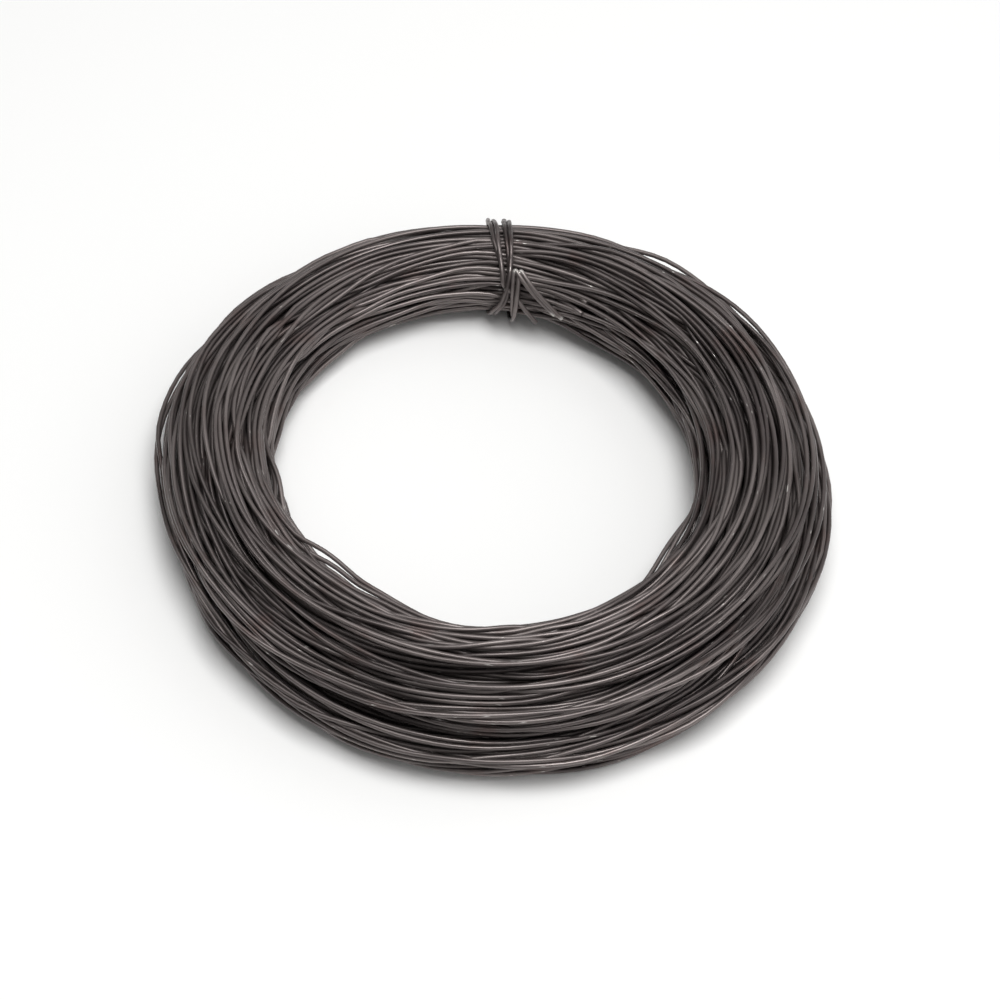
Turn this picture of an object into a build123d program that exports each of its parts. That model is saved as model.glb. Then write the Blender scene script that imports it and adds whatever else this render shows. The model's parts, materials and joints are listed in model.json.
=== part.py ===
from build123d import *
import os
from math import ceil, cos, hypot, pi, radians, sin

# A coil of black annealed tying wire. Two soft strands twisted together are wound by hand into a loose
# ring of many turns that lies flat, and a short length of the same wire is wrapped round the ring to tie it.
# Millimetres, +Z up, origin on the floor under the middle of the coil, the tie on the +Y side.

# Wire: each turn of the ring, and the tie, is a pair of these strands, drawn here with few sides
strand_diameter = 1.24
strand_sides = 8

# Ring: the middle line of its turns, how far its oval bulges to back left and front right, and where it lies
ring_diameter = 138.8
ring_oval = 2.4
ring_shift_right = -1.1
ring_shift_back = 2.0
ring_sections = 40

# Bundle of turns, measured over them: loose at the front, drawn together at the back, sagging on the floor
bundle_width_right = 33.6
bundle_width_back = 24.4
bundle_width_left = 29.4
bundle_width_front = 34.2
floor_sag_back = 0.9
floor_sag_front = 5.0

# Turns that show on the ring's surface: the distance from one to the next, and the groove between them
turn_spacing = 3.1
groove_depth = 0.85

# Waist: where the tie stands on the ring in degrees from +X, and how far it draws the bundle in and along it
tie_bearing = 88.0
tie_squeeze = 1.8
waist_run = 41.0

# Tie wraps: angles in degrees round the bundle, from the outer side over the top to the bore side
tie_clearance = 0.35
tie_floor_gap = 0.3
tie_strand_gap = 0.15
tie_wrap_pitch = 4.3
tie_start_angle = 235.0
tie_full_wraps = 2
wrap_bend_angle = 18.0

# Tie tails: where each strand leaves the wrap, and how far its cut end lies along and round the bundle
tail_leave_angles = (140.0, 163.0)
tail_runs = (9.0, 6.5)
tail_turn_angles = (38.0, 28.0)
tail_lift = 1.3

# Ring and turns worked out from these
ring_radius = ring_diameter / 2
ring_length = pi * ring_diameter
bundle_widths = (bundle_width_right, bundle_width_back, bundle_width_left, bundle_width_front)
floor_sag_sides = (floor_sag_back + floor_sag_front) / 2
floor_sags = (floor_sag_sides, floor_sag_back, floor_sag_sides, floor_sag_front)
turns_showing = 4 * round(pi * sum(bundle_widths) / 4 / turn_spacing / 4)

# Room that the tie takes: over the turns, and under the waist, which stands on the strands that pass there
strand_lift = tie_clearance + strand_diameter / 2
tie_room = tie_clearance + strand_diameter + tie_floor_gap


def along_ring(sides, turn):
    """Value at an angle along the ring, as a wave through its values at the right, back, left and front."""
    right, back, left, front = sides
    wave = (right - left) / 2 * cos(turn) + (back - front) / 2 * sin(turn)
    return sum(sides) / 4 + wave + (right - back + left - front) / 4 * cos(2 * turn)


def beside_bundle(run, angle, lift, reach_share=1):
    """Point at a run along the ring from the tie and an angle round the bundle, lifted off its turns."""
    turn = radians(tie_bearing) + run / ring_radius
    waist_share = (1 + cos(pi * min(abs(run) / waist_run, 1))) / 2
    half_width = (along_ring(bundle_widths, turn) - tie_squeeze * waist_share) / 2
    middle = half_width + tie_room * waist_share - along_ring(floor_sags, turn) * (1 - waist_share)
    reach = reach_share * (half_width + lift)
    radius = ring_radius - ring_oval * sin(2 * turn) + reach * cos(radians(angle))
    height = middle + reach * sin(radians(angle))
    return Vector(ring_shift_right + radius * cos(turn), ring_shift_back + radius * sin(turn), height)


def bundle_section(run):
    """Face across the ring: each turn that shows is a ridge of two flanks, and the floor flattens some."""
    corners = []
    for index in range(2 * turns_showing):
        groove = groove_depth * (index % 2)
        corner = beside_bundle(run, 180 * index / turns_showing - 90, -groove)
        corners.append(Vector(corner.X, corner.Y, max(corner.Z, groove)))
    return make_face(Polyline(*corners, close=True))


def wound_ring():
    """Ring of the bundle: two halves, each lofted through sections, joined a quarter round from the tie."""
    first = ring_sections // 4
    runs = [ring_length * ((first + index) / ring_sections - 1 / 2) for index in range(ring_sections + 1)]
    sections = [bundle_section(run) for run in runs]
    middle = ring_sections // 2
    return loft(sections[:middle + 1], ruled=True) + loft(sections[middle:], ruled=True)


def tie_strand(side, leave_angle, tail_run, tail_turn_angle):
    """One strand of the tie: wrapped round the waist beside its twin, then led off to its cut end."""
    last_angle = leave_angle + 360 * tie_full_wraps
    steps = ceil((last_angle - tie_start_angle) / wrap_bend_angle)
    step_angle = (last_angle - tie_start_angle) / steps
    corner_share = 1 / cos(radians(step_angle / 2))
    middle_angle = (tie_start_angle + 360 * tie_full_wraps + tail_leave_angles[0]) / 2
    points = []
    for index in range(steps + 1):
        angle = tie_start_angle + index * step_angle
        run = side * strand_spacing - tie_wrap_pitch * (angle - middle_angle) / 360
        points.append(beside_bundle(run, angle, strand_lift, corner_share))
    points.append(beside_bundle(run - tail_run, last_angle + tail_turn_angle, strand_lift + tail_lift))
    path = Polyline(*points)
    section = (path ^ 0) * RegularPolygon(strand_diameter / 2, strand_sides)
    return sweep(section, path=path, transition=Transition.RIGHT)


def tie():
    """Both strands of the tie, side by side."""
    sides = (-1 / 2, 1 / 2)
    return [
        tie_strand(*values) for values in zip(sides, tail_leave_angles, tail_runs, tail_turn_angles)
    ]


# The tie's strands lie closest in the bore, where a run along the ring is shortest
bore_side = beside_bundle(0, 180, strand_lift)
bore_run_share = hypot(bore_side.X - ring_shift_right, bore_side.Y - ring_shift_back) / ring_radius
strand_spacing = (strand_diameter + tie_strand_gap) / bore_run_share

os.makedirs("parts", exist_ok=True)
export_step(wound_ring(), "parts/coil.step")
export_step(Compound(tie()), "parts/tie_wire.step")
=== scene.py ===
"""Coil of black annealed tying wire: two soft strands twisted together, wound into a ring and tied.

Lengths are in metres and angles in radians, unless a comment says otherwise. The ring lies flat
round +Z, its tie stands on the +Y side, an angle along the ring starts at +X, and an angle round
the bundle runs from its outer side over its top to the bore side.
"""

import json
from math import ceil, cos, pi, radians, sin, sqrt, tau

import bpy
import numpy as np
from bpy.props import FloatProperty, FloatVectorProperty, IntProperty, PointerProperty
from bpy.types import Operator, Panel, PropertyGroup
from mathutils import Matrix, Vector

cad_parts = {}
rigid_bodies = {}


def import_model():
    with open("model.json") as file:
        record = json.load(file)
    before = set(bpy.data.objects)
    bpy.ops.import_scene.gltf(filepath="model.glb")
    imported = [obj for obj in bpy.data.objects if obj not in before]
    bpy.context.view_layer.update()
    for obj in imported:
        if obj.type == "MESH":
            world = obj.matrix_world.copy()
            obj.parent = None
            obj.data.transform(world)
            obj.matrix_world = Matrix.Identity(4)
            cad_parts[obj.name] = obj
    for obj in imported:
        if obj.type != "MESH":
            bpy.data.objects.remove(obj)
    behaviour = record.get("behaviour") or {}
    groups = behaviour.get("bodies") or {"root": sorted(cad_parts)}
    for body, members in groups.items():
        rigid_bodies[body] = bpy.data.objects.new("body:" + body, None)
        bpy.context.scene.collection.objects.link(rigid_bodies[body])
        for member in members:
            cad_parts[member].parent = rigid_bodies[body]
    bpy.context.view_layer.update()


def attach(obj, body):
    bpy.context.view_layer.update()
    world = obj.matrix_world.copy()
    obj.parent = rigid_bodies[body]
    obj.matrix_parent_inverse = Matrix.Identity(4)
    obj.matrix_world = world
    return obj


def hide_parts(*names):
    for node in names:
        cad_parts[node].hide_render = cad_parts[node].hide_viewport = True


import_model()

bl_info = {
    "name": "Annealed wire coil",
    "version": (1, 0, 0),
    "blender": (4, 5, 0),
    "location": "View3D > Sidebar > Wire coil",
    "description": "Winds a loose ring of twisted black annealed wire and ties it",
    "category": "Add Mesh",
}

BODY = "root"
MILLIMETRE = 0.001

# Points along one turn of wire, corners round a strand, and the seed of all random draws
STATIONS = 120
STRAND_SIDES = 8
SEED = 41

# How much fuller the bundle is on the right, at the front, at both sides and on the diagonal,
# in shares of its mean radius
FULLER_RIGHT = 0.08
FULLER_FRONT = 0.19
FULLER_SIDES = 0.03
FULLER_DIAGONAL = 0.01

# Height of the bundle's middle in bundle radii, what it gains towards the back, and what the
# strands under the tie add to it, in strand diameters
SLUMP_MEAN = 0.82
SLUMP_GAIN = 0.14
TIE_LIFT = 1.3

# Where the outer side bulges on the left, and how far that reaches along the ring, in degrees
BULGE_BEARING = 182
BULGE_SPAN = 22

# Where the wire begins on the ring, in degrees
WIRE_BEARING = 63

# Half turns in the golden angle, which spreads points evenly over a disc
GOLDEN_HALF_TURNS = 3 - sqrt(5)

# Short waves in the course of a turn: their size beside the long ones, and how many fit in one
SHORT_STRAY = 0.4
SHORT_WAVES = 3

# Least length that places in a bundle of radius 1 are divided by, so that none lies outside it
EDGE_GUARD = 1.001

# Change in the pace of the twist, and the stretch over which it changes, in lengths of straying
PACE_CHANGE = 0.25
PACE_STRETCH = 4

# Settling of the strands: rounds in all, rounds that are coarse, neighbours that a strand minds,
# and rounds from one search for them to the next
SETTLE_ROUNDS = 180
COARSE_ROUNDS = 126
NEIGHBOURS = 12
SEARCH_EVERY = 10

# One coarse and one fine round of settling: passes that blur the moves along the wire, share by
# which the wire itself is smoothed, and share by which the pair turns back to its first twist
COARSE_ROUND = (3, 0.0, 0.06)
FINE_ROUND = (1, 0.1, 0.01)

# Push of a round in shares of the overlap, share of the way that a pair outside the bundle is
# drawn back, and a length that keeps a gap from being nothing
PUSH_SHARE = 1.5
DRAW_BACK = 0.5
TINY_GAP = 1e-9

# Turns that stand off the bundle: degrees along the ring, degrees round the bundle, lift in mm,
# half span in degrees
LOOSE_TURNS = (
    (161, 10, 2.6, 42),
    (52, 28, 1.0, 20),
    (186, 165, 1.3, 15),
    (221, 150, 1.6, 14),
    (237, 145, 2.4, 28),
    (330, 165, 2.0, 20),
)

# Curl of the wire's first end: how far, over how many stations, and which way in the section
CURL_LENGTH = 0.0024
CURL_STATIONS = 3
CURL_WAY = (-0.9, 0.4)

# Course of the tie from its cut tails to the curl at its other end: degrees round the bundle, mm
# along it, mm off it, and the half turns that its two strands have made round each other
TIE_COURSE = (
    (182, 18.0, 0.9, 0.0),
    (166, 13.4, 1.3, 0.0),
    (150, 9.4, 1.5, 0.0),
    (137, 6.6, 1.6, 0.0),
    (130, 5.5, 1.4, 0.0),
    (137, 5.0, 1.0, 0.0),
    (152, 4.9, 0.9, 0.1),
    (180, 4.6, 0.8, 0.3),
    (216, 4.1, 0.4, 0.6),
    (270, 3.3, 0.0, 1.0),
    (330, 2.4, 0.0, 1.5),
    (396, 1.6, 0.0, 2.0),
    (440, 2.4, 0.0, 2.15),
    (470, 3.1, 0.0, 2.3),
    (494, 3.3, 0.1, 2.45),
    (512, 2.9, 0.3, 2.6),
    (531, 2.0, 0.4, 2.75),
    (543, 0.8, 0.4, 2.85),
    (551, -0.4, 0.3, 2.9),
    (575, -1.4, 0.1, 3.0),
    (630, -2.6, 0.0, 3.0),
    (690, -2.9, 0.0, 3.5),
    (756, -2.6, 0.0, 4.0),
    (819, -0.6, 0.0, 4.3),
    (848, 1.0, 0.0, 4.5),
    (872, 2.1, -0.3, 4.7),
    (880, 4.6, -0.5, 4.8),
    (893, 6.8, 0.3, 4.9),
    (905, 9.3, 1.4, 5.0),
    (915, 12.3, 2.8, 5.0),
)

# Keys of that course at the fold of the hairpin and where the second strand ends in the bundle
TIE_FOLD = 4
TIE_TUCK = 25

# Tie: distance between its points, passes that round its bends, and directions round the bundle
# and the angle to each side in which it looks for the outermost strands
TIE_STEP = 0.0004
TIE_BLUR = 12
TIE_DIRECTIONS = 73
TIE_ZONE = 0.06

# Tie: how far each strand stands from the pair's middle in strand diameters, how much shorter the
# second tail is cut, and the reach of bare steel at the fold, where it is also a painted glint, and
# at the cut ends
TIE_HALF_PAIR = 0.6
TIE_SHORTER = 0.0014
FOLD_BARE_AND_GLINT = 0.0011
BARE_END = 0.0012

# Chart of a strand, in rows: margin of a row, and place and radius of the two caps
CHART_MARGIN = 0.06
CAP_PLACES = (0.25, 0.75)
CAP_RADIUS = 0.4

# Painted shade deep in the bundle, a darker colour on the turns inside it that stands for the
# shade in its gaps: its largest share, the depth in bundle radii at which it begins, and that over
# which it grows
DEEP_SHADE_SHARE = 0.28
DEEP_SHADE_DEPTH = 0.06
DEEP_SHADE_GROWTH = 0.16

# Finish: stretches of smoke and of shine along the wire, patches of rust across the coil, rubbed
# spots of bare steel that are also painted glints, and drawing lines, which are coarser than the
# real ones so that they show
SMOKE_LENGTH = 0.060
SHINE_LENGTH = 0.030
SHINE_SHIFT = (7.0, 3.0, 0.0)
RUST_PATCH = 0.012
SPOT_LENGTH = 0.004
SPOT_WIDTH = 0.0008
LINE_LENGTH = 0.008
LINE_WIDTH = 0.00015
LINE_DEPTH = 0.00004

# Sockets of a colour mix
MIX_UNDER = 6
MIX_OVER = 7
MIX_RESULT = 2

# Half the width of the floor, the strength of the surroundings at the far right, and each lamp's
# place, side and power in watts
FLOOR_REACH = 6.0
WORLD_STRENGTH = 0.78
SOFT_BOX = ((0.12, -0.13, 1.12), 0.65, 9.9)
SHEEN_CARD = ((-0.42, 0.34, 0.90), 0.4, 1.8)

# Camera: width of its sensor in mm and of its picture in pixels, the height of the point in the
# coil that it looks at, and how far that point shows left of the middle and above it, in pixels
SENSOR_WIDTH = 36
PICTURE_WIDTH = 1000
AIM_HEIGHT = 0.0155
AIM_LEFT = 6.5
AIM_ABOVE = 30


def linear(code):
    """Linear RGBA of an sRGB hex colour."""
    shares = np.array([int(code[place:place + 2], 16) for place in (1, 3, 5)]) / 255
    levels = np.where(shares <= 0.04045, shares / 12.92, ((shares + 0.055) / 1.055) ** 2.4)
    return (*levels, 1.0)


class WireSizes(PropertyGroup):
    """The twisted wire itself."""

    strand_diameter: FloatProperty(
        name="Strand diameter", description="Thickness of one drawn strand",
        default=0.00124, unit="LENGTH", precision=5)
    lay_length: FloatProperty(
        name="Lay length",
        description="Length of wire in which the two strands turn once round each other",
        default=0.090, unit="LENGTH")
    slackness: FloatProperty(
        name="Slackness",
        description="Gap between the two strands at a typical slack place, in strand diameters",
        default=0.5)
    turns: IntProperty(
        name="Turns", description="Turns of twisted wire in the ring", default=120, min=10)


class BundleSizes(PropertyGroup):
    """The ring that the turns make."""

    ring_radius: FloatProperty(
        name="Ring radius", description="Radius of the ring at the middle of the bundle",
        default=0.0696, unit="LENGTH")
    shift_right: FloatProperty(
        name="Shift right",
        description="How far the middle of the ring lies to the right of the middle of the coil",
        default=-0.0011, unit="LENGTH")
    shift_back: FloatProperty(
        name="Shift back",
        description="How far the middle of the ring lies behind the middle of the coil",
        default=0.0020, unit="LENGTH")
    out_of_round: FloatProperty(
        name="Out of round",
        description="Share by which the ring is longer from its back left to its front right",
        default=0.030)
    left_bulge: FloatProperty(
        name="Left bulge",
        description="How far the outer side bulges behind the left and draws in before it",
        default=0.0011, unit="LENGTH")
    bundle_radius: FloatProperty(
        name="Bundle radius", description="Mean radius of the bundle of turns",
        default=0.0155, unit="LENGTH")
    wander: FloatProperty(
        name="Wander", description="How far a turn strays from its place in the bundle",
        default=0.0028, unit="LENGTH")
    wander_length: FloatProperty(
        name="Wander length", description="Length of wire over which a turn strays and comes back",
        default=0.130, unit="LENGTH")


class TieSizes(PropertyGroup):
    """The short wire that holds the ring together."""

    bearing: FloatProperty(
        name="Bearing", description="Where the tie stands on the ring",
        default=radians(88), subtype="ANGLE")
    squeeze: FloatProperty(
        name="Squeeze", description="Share of the bundle's radius that the tie draws in",
        default=0.057)
    waist_span: FloatProperty(
        name="Waist span", description="Angle along the ring, to each side, that the tie draws in",
        default=radians(34), subtype="ANGLE")


class WireFinish(PropertyGroup):
    """Colours of the wire."""

    oxide: FloatVectorProperty(
        name="Oxide", description="Dull skin left by annealing",
        default=linear("#78706e"), subtype="COLOR", size=4)
    smoke: FloatVectorProperty(
        name="Smoke", description="Darker skin along some stretches",
        default=linear("#514a49"), subtype="COLOR", size=4)
    rust: FloatVectorProperty(
        name="Rust", description="Brown bloom here and there",
        default=linear("#5c4a46"), subtype="COLOR", size=4)
    # Painted shade: the dark colour of the turns deep inside the bundle, standing for the shade in its
    # gaps
    deep_shade_colour: FloatVectorProperty(
        name="Soot", description="Turns inside the bundle, which no hand has rubbed",
        default=linear("#2a2524"), subtype="COLOR", size=4)
    # Bare steel: the colour of the cut ends, and painted glints at the fold of the tie and on the rubbed
    # spots
    bare_and_glint: FloatVectorProperty(
        name="Bare steel", description="Cut ends, the sharp bend of the tie, and rubbed spots",
        default=linear("#d8d4cf"), subtype="COLOR", size=4)


class StageSettings(PropertyGroup):
    """Floor and camera."""

    floor: FloatVectorProperty(
        name="Floor", description="Colour of the floor",
        default=linear("#fcfcfb"), subtype="COLOR", size=4)
    elevation: FloatProperty(
        name="Camera elevation", description="Height of the camera above the floor, as an angle",
        default=radians(53.4), subtype="ANGLE")
    distance: FloatProperty(
        name="Camera distance", description="Distance from the camera to the coil",
        default=0.7155, unit="LENGTH")
    lens: FloatProperty(
        name="Lens", description="Focal length in millimetres",
        default=100.6)


class CoilSettings(PropertyGroup):
    """All that a user would change."""

    wire: PointerProperty(type=WireSizes)
    bundle: PointerProperty(type=BundleSizes)
    tie: PointerProperty(type=TieSizes)
    finish: PointerProperty(type=WireFinish)
    stage: PointerProperty(type=StageSettings)


def smooth_noise(rng, count, reach):
    """Random curve of unit spread: white noise blurred by a bell curve that is reach samples wide."""
    blur = np.exp(-2 * (pi * reach * np.fft.rfftfreq(count)) ** 2)
    curve = np.fft.irfft(np.fft.rfft(rng.standard_normal(count)) * blur, count)
    return curve / curve.std()


def smooth_path(rng, count, reach):
    """Two such curves, as a random path across the section."""
    return np.stack([smooth_noise(rng, count, reach) for _ in range(2)], axis=-1)


def ring_radius(sizes, angle):
    """Radius of the ring's middle line at an angle along it: a circle, slightly oval on the diagonal."""
    return sizes.bundle.ring_radius * (1 - sizes.bundle.out_of_round * np.sin(2 * angle))


def waist(sizes, angle):
    """Share of the tie's hold at an angle along the ring: a raised cosine that is 1 at the tie."""
    away = np.abs((angle - sizes.tie.bearing + pi) % tau - pi) / sizes.tie.waist_span
    return (1 + np.cos(pi * np.minimum(away, 1))) / 2


def bundle_radius(sizes, angle):
    """Radius of the bundle at an angle along the ring: fuller at the front and on the right, and
    drawn in at the tie."""
    full = 1 + FULLER_RIGHT * np.cos(angle) - FULLER_FRONT * np.sin(angle)
    full = full + FULLER_SIDES * np.cos(2 * angle) + FULLER_DIAGONAL * np.sin(2 * angle)
    return sizes.bundle.bundle_radius * (full - sizes.tie.squeeze * waist(sizes, angle))


def middle_height(sizes, angle):
    """Height of the bundle's middle: the loose front slumps on the floor, the tied back keeps its
    round, and at the tie the bundle rests on the strands that pass under it."""
    slump = SLUMP_MEAN + SLUMP_GAIN * np.sin(angle)
    under = TIE_LIFT * sizes.wire.strand_diameter * waist(sizes, angle)
    return slump * bundle_radius(sizes, angle) + under


def left_bulge(sizes, angle):
    """How far the outer side of the ring bulges on the left: outwards behind the left, and inwards
    before it."""
    away = (radians(BULGE_BEARING) - angle % tau) / radians(BULGE_SPAN)
    return sizes.bundle.left_bulge * away * np.exp((1 - away ** 2) / 2)


def in_ring(sizes, angle, section):
    """Points in space of places across the bundle, given as distance outwards and upwards from its
    middle. The bulge on the left moves the outer side, and the bore side stays."""
    outer_share = (1 + section[..., 0] / bundle_radius(sizes, angle)) / 2
    radius = ring_radius(sizes, angle) + section[..., 0] + outer_share * left_bulge(sizes, angle)
    height = middle_height(sizes, angle) + section[..., 1]
    right = radius * np.cos(angle) + sizes.bundle.shift_right
    back = radius * np.sin(angle) + sizes.bundle.shift_back
    return np.stack((right, back, height), axis=-1)


def winding_places(turns):
    """Places of the turns in a bundle of radius 1: evenly spread points, wound in columns from the
    bore outwards."""
    index = np.arange(turns) + 0.5
    reach = np.sqrt(index / turns)
    turn = index * pi * GOLDEN_HALF_TURNS
    outwards = reach * np.cos(turn)
    upwards = reach * np.sin(turn)
    columns = round(sqrt(turns))
    column = np.floor((outwards + 1) / 2 * columns)
    order = np.lexsort((np.where(column % 2 == 0, -upwards, upwards), column))
    return np.stack((outwards, upwards), axis=-1)[order]


def loose_strands(sizes, rng):
    """First course of both strands: a middle line that moves from place to place and strays, in a
    round section whose upright chords are shortened to end on the floor, and a slack twist about
    it. Gives the angle along the ring, both strands in the section, and half the way between them."""
    wire = sizes.wire
    count = wire.turns * STATIONS
    step = tau * sizes.bundle.ring_radius / STATIONS
    angle = radians(WIRE_BEARING) + tau * np.arange(count) / STATIONS
    places = winding_places(wire.turns)
    following = np.concatenate((places[1:], places[-1:]))
    share = (np.arange(count) % STATIONS / STATIONS)[:, None]
    here = np.repeat(places, STATIONS, axis=0)
    there = np.repeat(following, STATIONS, axis=0)
    middle = here * (1 - share) + there * share
    room = (bundle_radius(sizes, angle) - wire.strand_diameter)[:, None]
    reach = sizes.bundle.wander_length / step / 2
    stray = smooth_path(rng, count, reach)
    stray = stray + SHORT_STRAY * smooth_path(rng, count, reach / SHORT_WAVES)
    middle = middle + sizes.bundle.wander * stray / room
    middle = middle / np.maximum(EDGE_GUARD, np.linalg.norm(middle, axis=-1, keepdims=True))
    top = np.sqrt(1 - middle[:, 0] ** 2)
    floor = np.maximum(-top, -middle_height(sizes, angle) / bundle_radius(sizes, angle))
    middle[:, 1] = floor + (middle[:, 1] + top) * (top - floor) / (2 * top)
    middle = middle * room
    pace = 1 + PACE_CHANGE * smooth_noise(rng, count, PACE_STRETCH * reach)
    twist = np.cumsum(tau * step / wire.lay_length * pace)
    slack = 1 + wire.slackness * np.abs(smooth_noise(rng, count, reach))
    apart = wire.strand_diameter / 2 * slack
    offset = apart[:, None] * np.stack((np.cos(twist), np.sin(twist)), axis=-1)
    return angle, np.stack((middle + offset, middle - offset)), offset


def blurred(curves, passes=1):
    """Each curve with every point drawn towards the mean of its neighbours along the wire, so many
    times over."""
    for _ in range(passes):
        padded = np.pad(curves, ((0, 0), (1, 1), (0, 0)), mode="edge")
        curves = (padded[:, :-2] + 2 * padded[:, 1:-1] + padded[:, 2:]) / 4
    return curves


def by_station(strands, turns):
    """Points of both strands sorted by the station of the ring where they lie."""
    return strands.reshape(2, turns, STATIONS, 2).transpose(2, 0, 1, 3).reshape(STATIONS, -1, 2)


def along_wire(points, turns):
    """Points sorted by station put back in their order along both strands."""
    return points.reshape(STATIONS, 2, turns, 2).transpose(1, 2, 0, 3).reshape(2, -1, 2)


def nearest(places, count):
    """For each point at each station, the indices of the nearest other points there."""
    gaps = places[:, :, None, :] - places[:, None, :, :]
    far = np.einsum("sijk,sijk->sij", gaps, gaps)
    np.einsum("sii->si", far)[:] = np.inf
    return np.argpartition(far, count, axis=-1)[..., :count]


def settled(sizes, angle, strands, offset):
    """Strands pushed apart until almost all of them only touch: at each station of the ring every
    strand moves out of the nearest ones, the moves are smoothed along the wire, the pair keeps to
    its twist, and all stay in the bundle and off the floor. The fine rounds smooth the wire too."""
    turns = sizes.wire.turns
    thick = sizes.wire.strand_diameter
    reach = (bundle_radius(sizes, angle) - thick / 2)[:, None]
    lowest = thick * (0.5 + waist(sizes, angle)) - middle_height(sizes, angle)
    stations = np.arange(STATIONS)[:, None, None]
    for index in range(SETTLE_ROUNDS):
        passes, smoothing, hold = COARSE_ROUND if index < COARSE_ROUNDS else FINE_ROUND
        places = by_station(strands, turns)
        if index % SEARCH_EVERY == 0:
            near = nearest(places.astype(np.float32), NEIGHBOURS)
        gaps = places[:, :, None, :] - places[stations, near]
        far = np.linalg.norm(gaps, axis=-1, keepdims=True) + TINY_GAP
        push = (gaps / far * np.maximum(thick - far, 0) / 2).sum(axis=2)
        strands = strands + PUSH_SHARE * blurred(along_wire(push, turns), passes)
        strands = strands + smoothing * (blurred(strands) - strands)
        middle = strands.mean(axis=0)
        half = (strands[0] - strands[1]) / 2
        half = half + hold * (offset - half)
        out = np.maximum(np.linalg.norm(middle, axis=-1, keepdims=True), reach / 2)
        middle = middle * np.minimum(1, 1 - DRAW_BACK + DRAW_BACK * reach / out)
        strands = np.stack((middle + half, middle - half))
        strands[..., 1] = np.maximum(strands[..., 1], lowest)
    return strands


def lift_loose_turns(strands):
    """Strands with single turns moved off the bundle: at each loose place the pair that lies
    furthest out is moved on by a bump that rises and falls as a squared cosine along the wire. The
    wire's first end curls into the bore."""
    index = np.arange(strands.shape[1])
    for bearing, side, lift, span in LOOSE_TURNS:
        way = np.array((cos(radians(side)), sin(radians(side))))
        station = round((bearing - WIRE_BEARING) / 360 * STATIONS) % STATIONS
        furthest = np.argmax(strands.mean(axis=0)[station::STATIONS] @ way)
        away = np.abs(index - station - STATIONS * furthest) / (span / 360 * STATIONS)
        bump = lift * MILLIMETRE * np.cos(pi / 2 * np.minimum(away, 1)) ** 2
        strands = strands + bump[:, None] * way
    curl = CURL_LENGTH * np.maximum(1 - index / CURL_STATIONS, 0) ** 2
    return strands + curl[:, None] * np.array(CURL_WAY)


def bundle_reach(sizes, directions):
    """Distance from the bundle's middle to the outermost strand in each direction, on the wire that
    is wound at the tie: the furthest that any vertex there lies along that direction."""
    points = []
    for piece in bpy.data.objects:
        if piece.name.startswith("turns_"):
            flat = np.empty(3 * len(piece.data.vertices), dtype=np.float32)
            piece.data.vertices.foreach_get("co", flat)
            points.append(flat.reshape(-1, 3))
    shift = np.array((sizes.bundle.shift_right, sizes.bundle.shift_back, 0))
    points = np.concatenate(points) - shift
    bearing = np.arctan2(points[:, 1], points[:, 0])
    near = np.abs(bearing - sizes.tie.bearing) < TIE_ZONE
    bearing = bearing[near]
    outwards = np.hypot(points[near, 0], points[near, 1]) - ring_radius(sizes, bearing)
    upwards = points[near, 2] - middle_height(sizes, bearing)
    reach = np.outer(np.cos(directions), outwards) + np.outer(np.sin(directions), upwards)
    return reach.max(axis=1)


def tie_strands(sizes):
    """Paths of the tie's two strands, with the direction that points away from the bundle and the
    share of bare steel at each point, which at the fold is also a painted glint. The course runs
    straight from key to key in angle, run, lift and twist, is blurred into smooth bends, hugs the
    bundle's outermost strands and stays above the floor; the pair turns round itself as the keys say."""
    keys = np.array(TIE_COURSE) * np.array((radians(1), MILLIMETRE, MILLIMETRE, pi))
    steps = np.diff(keys, axis=0) * np.array((sizes.bundle.bundle_radius, 1, 1, 0))
    place = np.concatenate(([0], np.cumsum(np.linalg.norm(steps, axis=-1))))
    along = np.arange(0, place[-1], TIE_STEP)
    course = np.stack([np.interp(along, place, column) for column in keys.T], axis=-1)
    around, run, lift, twist = blurred(course[None], TIE_BLUR)[0].T
    directions = np.linspace(0, tau, TIE_DIRECTIONS)
    reach = np.interp(around % tau, directions, bundle_reach(sizes, directions))
    thick = sizes.wire.strand_diameter
    # Painted glint: bright bare steel at the fold of the hairpin
    bare_and_glint = np.exp(-((along - place[TIE_FOLD]) / FOLD_BARE_AND_GLINT) ** 2)
    spans = (along >= 0, (along > TIE_SHORTER) & (along < place[TIE_TUCK]))
    strands = []
    for side, span in zip((1, -1), spans):
        height = reach + lift + thick / 2 * (1 + np.abs(np.sin(twist)) + side * np.sin(twist))
        section = height[:, None] * np.stack((np.cos(around), np.sin(around)), axis=-1)
        radius = ring_radius(sizes, sizes.tie.bearing) + section[:, 0]
        shifted = run + side * TIE_HALF_PAIR * thick * np.cos(twist)
        bearing = sizes.tie.bearing - shifted / radius
        path = in_ring(sizes, bearing, section)
        path[:, 2] = np.maximum(path[:, 2], thick / 2)
        outwards = np.cos(around)
        away = np.stack(
            (np.cos(bearing) * outwards, np.sin(bearing) * outwards, np.sin(around)), axis=-1)
        ends = np.exp(-((along - along[span][0]) / BARE_END) ** 2)
        strands.append((path[span], away[span], np.maximum(bare_and_glint, ends)[span]))
    return strands


def tube(path, outside, radius):
    """Vertices of a round strand along a path: at each point a circle about the path's direction,
    whose first corner points to the given outside. The rows follow the path and the columns go
    round it."""
    along = np.gradient(path, axis=0)
    along = along / np.linalg.norm(along, axis=-1, keepdims=True)
    first = outside - (outside * along).sum(axis=-1, keepdims=True) * along
    first = first / np.linalg.norm(first, axis=-1, keepdims=True)
    second = np.cross(along, first)
    turn = (tau * np.arange(STRAND_SIDES) / STRAND_SIDES)[None, :, None]
    ring = np.cos(turn) * first[:, None] + np.sin(turn) * second[:, None]
    return path[:, None] + radius * ring


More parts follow.
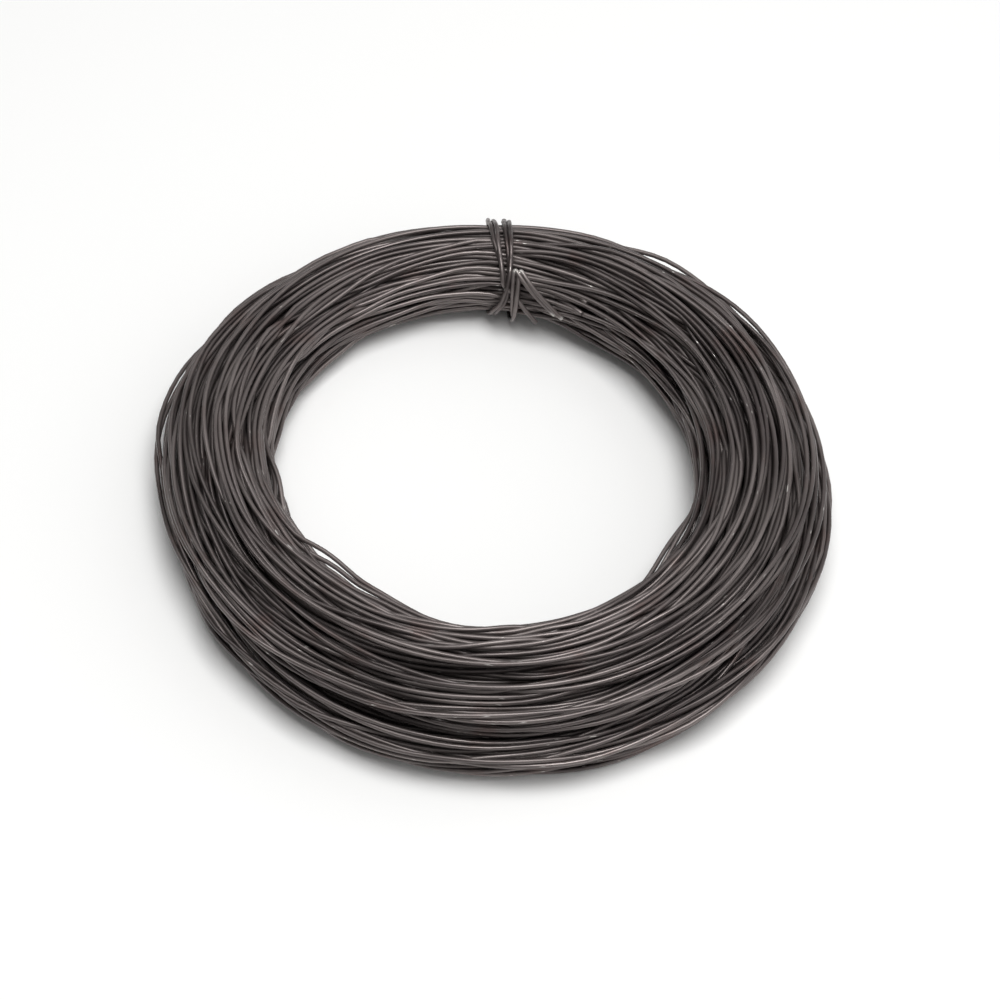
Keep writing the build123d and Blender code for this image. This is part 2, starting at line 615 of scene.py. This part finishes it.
def strand_maps(path, radius):
    """Two maps of a strand's corners, with those of its quads before those of its caps: its length
    along the wire and round it in metres, and a chart that lays the strand out in rows."""
    sides = STRAND_SIDES
    count = len(path)
    length = np.concatenate(([0], np.cumsum(np.linalg.norm(np.diff(path, axis=0), axis=-1))))
    girth = tau * radius
    segment = np.repeat(np.arange(count - 1), sides)[:, None]
    column = np.tile(np.arange(sides), count - 1)[:, None]
    next_row = np.array((0, 0, 1, 1))
    next_column = np.array((0, 1, 1, 0))
    round_it = (column + next_column) / sides
    run = np.stack((length[segment + next_row], girth * round_it), axis=-1).reshape(-1, 2)
    cap_run = np.stack((np.repeat(length[[0, -1]], sides), np.zeros(2 * sides)), axis=-1)

    rows = ceil(sqrt(length[-1] / girth))
    per_row = ceil((count - 1) / rows)
    across = (segment % per_row + next_row) / per_row
    fill = 1 - 2 * CHART_MARGIN
    up = (segment // per_row + CHART_MARGIN + fill * round_it) / (rows + 1)
    turn = tau * np.arange(sides) / sides
    disc = np.stack((np.cos(turn), np.sin(turn)), axis=-1) * CAP_RADIUS / (rows + 1)
    middles = np.array([(place, (rows + 0.5) / (rows + 1)) for place in CAP_PLACES])
    cap_chart = (middles[:, None] + disc[None]).reshape(-1, 2)
    chart = np.stack((across, up), axis=-1).reshape(-1, 2)
    return np.concatenate((run, cap_run)), np.concatenate((chart, cap_chart))


def strand_mesh(name, path, outside, radius, marks):
    """Closed tube of one strand, with quads along it and a cap at each end. Its map named run holds
    lengths, its map named OFBake is its chart, and marks are shares along the path that the finish
    reads by name."""
    sides = STRAND_SIDES
    count = len(path)
    verts = tube(path, outside, radius).reshape(-1, 3)
    row = np.arange(count - 1)[:, None] * sides
    here = np.arange(sides)[None, :]
    after = (here + 1) % sides
    quads = np.stack((row + here, row + after, row + sides + after, row + sides + here), axis=-1)
    quads = quads.reshape(-1, 4)
    caps = np.stack((np.arange(sides)[::-1], (count - 1) * sides + np.arange(sides)))
    corners = np.concatenate((quads.ravel(), caps.ravel()))
    starts = np.concatenate((np.arange(len(quads)) * 4, len(quads) * 4 + np.arange(2) * sides))
    mesh = bpy.data.meshes.new(name)
    mesh.vertices.add(len(verts))
    mesh.vertices.foreach_set("co", verts.astype(np.float32).ravel())
    mesh.loops.add(len(corners))
    mesh.loops.foreach_set("vertex_index", corners.astype(np.int32))
    mesh.polygons.add(len(starts))
    mesh.polygons.foreach_set("loop_start", starts.astype(np.int32))
    mesh.update(calc_edges=True)
    mesh.polygons.foreach_set("use_smooth", np.arange(len(starts)) < len(quads))
    for label, places in zip(("run", "OFBake"), strand_maps(path, radius)):
        layer = mesh.uv_layers.new(name=label)
        layer.uv.foreach_set("vector", places.astype(np.float32).ravel())
    for mark, shares in marks.items():
        attribute = mesh.attributes.new(mark, "FLOAT", "POINT")
        attribute.data.foreach_set("value", np.repeat(shares, sides).astype(np.float32))
    return mesh


def add_node(tree, kind, inputs=None, **settings):
    """Adds a node with its settings; an input that is a socket is linked, and any other is set."""
    node = tree.nodes.new(kind)
    for name, value in settings.items():
        setattr(node, name, value)
    for name, value in (inputs or {}).items():
        if isinstance(value, bpy.types.NodeSocket):
            tree.links.new(value, node.inputs[name])
        else:
            node.inputs[name].default_value = value
    return node


def noise(tree, place, scale, detail):
    """Socket of a noise about a place."""
    inputs = {"Vector": place, "Scale": scale, "Detail": detail}
    return add_node(tree, "ShaderNodeTexNoise", inputs).outputs["Fac"]


def grain(tree, run, along, across, detail, shift=(0.0, 0.0, 0.0)):
    """Socket of a noise whose grains are so long along the wire and so wide round it."""
    inputs = {"Vector": run, "Location": shift, "Scale": (1 / along, 1 / across, 1.0)}
    place = add_node(tree, "ShaderNodeMapping", inputs).outputs["Vector"]
    return noise(tree, place, 1.0, detail)


def ramp(tree, value, start=0.0, stop=1.0, low=0.0, high=1.0):
    """Socket that goes from low to high while a value goes from start to stop."""
    inputs = {"Value": value, "From Min": start, "From Max": stop, "To Min": low, "To Max": high}
    return add_node(tree, "ShaderNodeMapRange", inputs).outputs["Result"]


def combined(tree, operation, first, second):
    """Socket of a math operation on two values."""
    inputs = {0: first, 1: second}
    return add_node(tree, "ShaderNodeMath", inputs, operation=operation).outputs["Value"]


def blend(tree, share, under, over):
    """Socket of a colour that covers another by a share."""
    inputs = {"Factor": share, MIX_UNDER: under, MIX_OVER: over}
    return add_node(tree, "ShaderNodeMix", inputs, data_type="RGBA").outputs[MIX_RESULT]


def annealed_steel(finish):
    """Black annealed drawn steel: a dull oxide skin, smoked, browned and shinier in places, and
    painted darker inside the bundle as shade, with fine drawing lines along the wire that spread its
    sheen, and bare steel where it is cut, bent sharply or rubbed, which at the fold and the rubbed
    spots also stands for painted glints."""
    material = bpy.data.materials.get("black_annealed_steel")
    if material:
        return material
    material = bpy.data.materials.new("black_annealed_steel")
    material.use_nodes = True
    tree = material.node_tree
    tree.nodes.clear()
    run = add_node(tree, "ShaderNodeUVMap", uv_map="run").outputs["UV"]
    place = add_node(tree, "ShaderNodeTexCoord").outputs["Object"]

    # Skin with stretches of smoke, patches of rust, and the painted shade deep in the bundle that the
    # mesh marks
    smoky = ramp(tree, noise(tree, run, 1 / SMOKE_LENGTH, detail=3.0), start=0.42, stop=0.62)
    rusty = ramp(tree, noise(tree, place, 1 / RUST_PATCH, detail=4.0), start=0.56, stop=0.74, high=0.7)
    deep_shade = add_node(tree, "ShaderNodeAttribute", attribute_name="deep_shade").outputs["Fac"]
    skin = blend(tree, smoky, finish.oxide, finish.smoke)
    skin = blend(tree, rusty, skin, finish.rust)
    skin = blend(tree, deep_shade, skin, finish.deep_shade_colour)

    # Rubbed spots, and the bare ends and bends that the mesh marks; at the spots and the fold the bare
    # steel is also a painted glint
    spots = grain(tree, run, SPOT_LENGTH, SPOT_WIDTH, detail=2.0)
    rubbed_and_glint = ramp(tree, spots, start=0.70, stop=0.76)
    mark = add_node(tree, "ShaderNodeAttribute", attribute_name="bare_and_glint").outputs["Fac"]
    bare_and_glint_share = combined(tree, "MAXIMUM", rubbed_and_glint, mark)
    colour = blend(tree, bare_and_glint_share, skin, finish.bare_and_glint)

    # Sheen of the drawing lines, and of stretches that shine more, as the bare spots do
    lines = grain(tree, run, LINE_LENGTH, LINE_WIDTH, detail=3.0)
    dull = ramp(tree, lines, low=0.28, high=0.48)
    shine = grain(tree, run, SHINE_LENGTH, SHINE_LENGTH, detail=2.0, shift=SHINE_SHIFT)
    shiny = ramp(tree, shine, start=0.50, stop=0.68)
    smooth = combined(tree, "MAXIMUM", shiny, bare_and_glint_share)
    matt = ramp(tree, smooth, low=1.0, high=0.5)
    inputs = {"Height": lines, "Strength": 0.25, "Distance": LINE_DEPTH}
    bump = add_node(tree, "ShaderNodeBump", inputs).outputs["Normal"]
    inputs = {
        "Base Color": colour,
        "Metallic": 0.6,
        "Roughness": combined(tree, "MULTIPLY", dull, matt),
        "Normal": bump,
    }
    steel = add_node(tree, "ShaderNodeBsdfPrincipled", inputs).outputs["BSDF"]
    add_node(tree, "ShaderNodeOutputMaterial", {"Surface": steel})
    return material


def add_piece(name, mesh, material, node):
    """Adds a piece that rides on the coil's body, takes the wire's slot and stands for a CAD node."""
    piece = bpy.data.objects.new(name, mesh)
    bpy.context.scene.collection.objects.link(piece)
    mesh.materials.append(material)
    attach(piece, BODY)
    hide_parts(node)


def lay_floor(scene, settings):
    """Pale matt floor, wide enough to fill the view."""
    mesh = bpy.data.meshes.new("floor")
    sides = ((-1, -1), (1, -1), (1, 1), (-1, 1))
    corners = [(right * FLOOR_REACH, back * FLOOR_REACH, 0) for right, back in sides]
    mesh.from_pydata(corners, [], [(0, 1, 2, 3)])
    material = bpy.data.materials.new("pale_floor")
    material.use_nodes = True
    tree = material.node_tree
    tree.nodes.clear()
    matt = add_node(tree, "ShaderNodeBsdfDiffuse", {"Color": settings.floor}).outputs["BSDF"]
    add_node(tree, "ShaderNodeOutputMaterial", {"Surface": matt})
    mesh.materials.append(material)
    floor = bpy.data.objects.new("floor", mesh)
    scene.collection.objects.link(floor)


def hang_lamp(scene, name, place, side, power):
    """Square lamp that hangs at a place and faces the floor in the middle of the coil."""
    lamp = bpy.data.lights.new(name, "AREA")
    lamp.shape = "SQUARE"
    lamp.size = side
    lamp.energy = power
    holder = bpy.data.objects.new(name, lamp)
    holder.location = place
    holder.rotation_euler = (-Vector(place)).to_track_quat("-Z", "Y").to_euler()
    scene.collection.objects.link(holder)
    return holder


def light(scene):
    """Surroundings that grow brighter to the right, a large soft box overhead, a little to the
    right and towards the camera, and a small card at the back left that shows only in the wire's
    sheen."""
    world = bpy.data.worlds.new("studio")
    world.use_nodes = True
    tree = world.node_tree
    tree.nodes.clear()
    way = add_node(tree, "ShaderNodeTexCoord").outputs["Generated"]
    right = add_node(tree, "ShaderNodeSeparateXYZ", {"Vector": way}).outputs["X"]
    inputs = {"Color": (1, 1, 1, 1), "Strength": ramp(tree, right, start=-1.0, high=WORLD_STRENGTH)}
    glow = add_node(tree, "ShaderNodeBackground", inputs).outputs["Background"]
    add_node(tree, "ShaderNodeOutputWorld", {"Surface": glow})
    scene.world = world
    hang_lamp(scene, "soft_box", *SOFT_BOX)
    card = hang_lamp(scene, "sheen_card", *SHEEN_CARD)
    card.visible_diffuse = False


def aim_camera(scene, settings):
    """Camera straight in front of the coil, looking down on it, with the coil a little left of the
    middle of the picture and above it."""
    rise = Vector((0, sin(settings.elevation), cos(settings.elevation)))
    back = Vector((0, -cos(settings.elevation), sin(settings.elevation)))
    metres_per_pixel = settings.distance * SENSOR_WIDTH / settings.lens / PICTURE_WIDTH
    target = Vector((0, 0, AIM_HEIGHT)) + Vector((AIM_LEFT, 0, 0)) * metres_per_pixel
    target = target - rise * AIM_ABOVE * metres_per_pixel
    camera = bpy.data.cameras.new("camera")
    camera.lens = settings.lens
    camera.sensor_width = SENSOR_WIDTH
    holder = bpy.data.objects.new("camera", camera)
    holder.location = target + back * settings.distance
    holder.rotation_euler = (-back).to_track_quat("-Z", "Y").to_euler()
    scene.collection.objects.link(holder)
    scene.camera = holder


class WIRECOIL_OT_wind_turns(Operator):
    """Wind the twisted wire into the ring"""

    bl_idname = "wire_coil.wind_turns"
    bl_label = "Wind turns"

    def execute(self, context):
        sizes = context.scene.wire_coil
        rng = np.random.default_rng(SEED)
        angle, strands, offset = loose_strands(sizes, rng)
        strands = lift_loose_turns(settled(sizes, angle, strands, offset))
        outside = np.stack((np.cos(angle), np.sin(angle), np.zeros_like(angle)), axis=-1)
        material = annealed_steel(sizes.finish)
        radius = sizes.wire.strand_diameter / 2
        half = sizes.wire.turns // 2 * STATIONS
        spans = {"inner": slice(0, half + 1), "outer": slice(half, None)}
        for letter, strand in zip("ab", strands):
            path = in_ring(sizes, angle, strand)
            # Painted shade: the deeper a turn lies in the bundle, the more of the dark shade colour it
            # gets
            depth = 1 - np.linalg.norm(strand, axis=-1) / bundle_radius(sizes, angle)
            deep_shade = DEEP_SHADE_SHARE * np.clip((depth - DEEP_SHADE_DEPTH) / DEEP_SHADE_GROWTH, 0, 1)
            for where, span in spans.items():
                name = f"turns_{where}_strand_{letter}"
                marks = {"bare_and_glint": np.zeros_like(deep_shade[span]), "deep_shade": deep_shade[span]}
                mesh = strand_mesh(name, path[span], outside[span], radius, marks)
                add_piece(name, mesh, material, "coil")
        return {"FINISHED"}


class WIRECOIL_OT_wrap_tie(Operator):
    """Wrap the short tie round the wound bundle"""

    bl_idname = "wire_coil.wrap_tie"
    bl_label = "Wrap tie"

    def execute(self, context):
        sizes = context.scene.wire_coil
        material = annealed_steel(sizes.finish)
        radius = sizes.wire.strand_diameter / 2
        for letter, (path, away, bare_and_glint) in zip("ab", tie_strands(sizes)):
            name = f"tie_strand_{letter}"
            marks = {"bare_and_glint": bare_and_glint, "deep_shade": np.zeros_like(bare_and_glint)}
            mesh = strand_mesh(name, path, away, radius, marks)
            add_piece(name, mesh, material, "tie_wire")
        return {"FINISHED"}


class WIRECOIL_OT_set_stage(Operator):
    """Lay the floor, hang the lamps and place the camera"""

    bl_idname = "wire_coil.set_stage"
    bl_label = "Set stage"

    def execute(self, context):
        scene = context.scene
        settings = scene.wire_coil.stage
        scene.view_settings.view_transform = "Standard"
        lay_floor(scene, settings)
        light(scene)
        aim_camera(scene, settings)
        return {"FINISHED"}


class WIRECOIL_PT_sidebar(Panel):
    """Sizes and steps of the coil"""

    bl_label = "Wire coil"
    bl_idname = "WIRECOIL_PT_sidebar"
    bl_space_type = "VIEW_3D"
    bl_region_type = "UI"
    bl_category = "Wire coil"

    def draw(self, context):
        for step in OPERATORS:
            self.layout.operator(step.bl_idname)
        settings = context.scene.wire_coil
        for group in CoilSettings.__annotations__:
            box = self.layout.box()
            box.label(text=group.title())
            for name in getattr(settings, group).__annotations__:
                box.prop(getattr(settings, group), name)


GROUPS = (WireSizes, BundleSizes, TieSizes, WireFinish, StageSettings, CoilSettings)
OPERATORS = (WIRECOIL_OT_wind_turns, WIRECOIL_OT_wrap_tie, WIRECOIL_OT_set_stage)
CLASSES = (*GROUPS, *OPERATORS, WIRECOIL_PT_sidebar)


def register():
    """Adds the classes and the settings to Blender."""
    for kind in CLASSES:
        bpy.utils.register_class(kind)
    bpy.types.Scene.wire_coil = PointerProperty(type=CoilSettings)


def unregister():
    """Takes the classes and the settings out again."""
    del bpy.types.Scene.wire_coil
    for kind in reversed(CLASSES):
        bpy.utils.unregister_class(kind)


def main():
    """Builds the coil and its stage."""
    register()
    bpy.ops.wire_coil.wind_turns()
    bpy.ops.wire_coil.wrap_tie()
    bpy.ops.wire_coil.set_stage()


if __name__ == "__main__":
    main()
